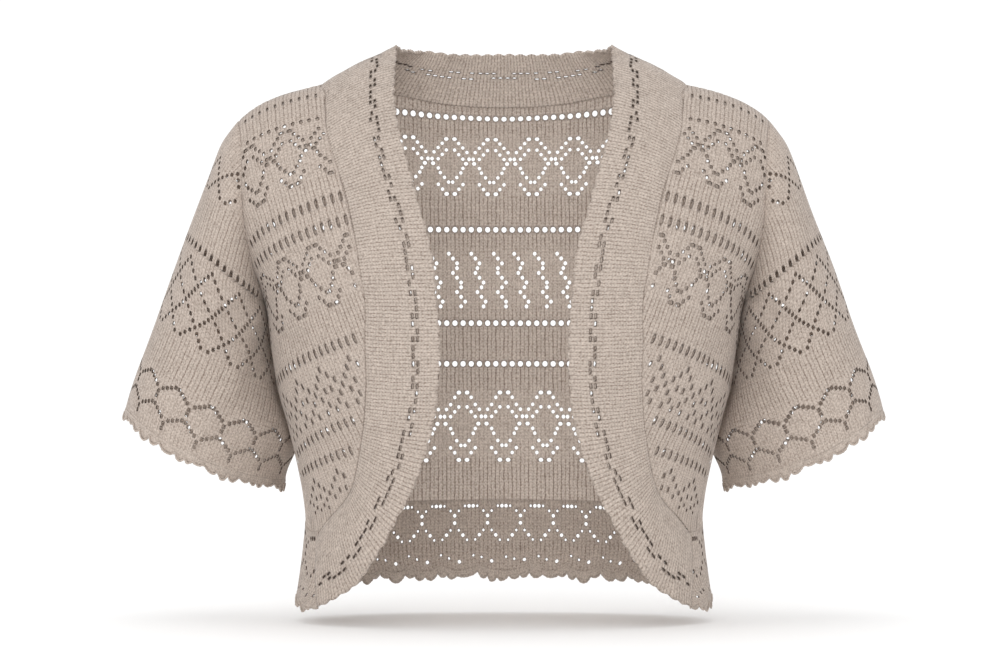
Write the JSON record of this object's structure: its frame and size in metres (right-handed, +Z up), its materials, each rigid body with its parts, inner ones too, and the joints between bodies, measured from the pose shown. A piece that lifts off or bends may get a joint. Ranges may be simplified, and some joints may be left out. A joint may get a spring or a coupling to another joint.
{
  "type": "knitted shrug, in its worn form with no wearer",
  "caption": "Open-front knitted shrug with short flared sleeves, lace panels, a ribbed band round the fronts and neck, and a scalloped crocheted hem and cuffs.",
  "frame": {"origin": "middle of the shoulder yoke, level with the shoulder seams, where the wearer's shoulders hold the garment", "axes": "+X to the wearer's left, +Y to the wearer's back, +Z up"},
  "size_m": [0.611, 0.2251, 0.451],
  "materials": {
    "lace_knit": "matt",
    "rib_knit": "matt",
    "crochet": "matt"
  },
  "bodies": {
    "root": {"back": "lace_knit", "front_left": "lace_knit", "front_right": "lace_knit", "sleeve_left": "lace_knit", "sleeve_right": "lace_knit", "hem_border": "lace_knit", "band": "rib_knit", "hem_edging": "crochet", "cuff_edging_left": "crochet", "cuff_edging_right": "crochet"}
  },
  "joints": []
}
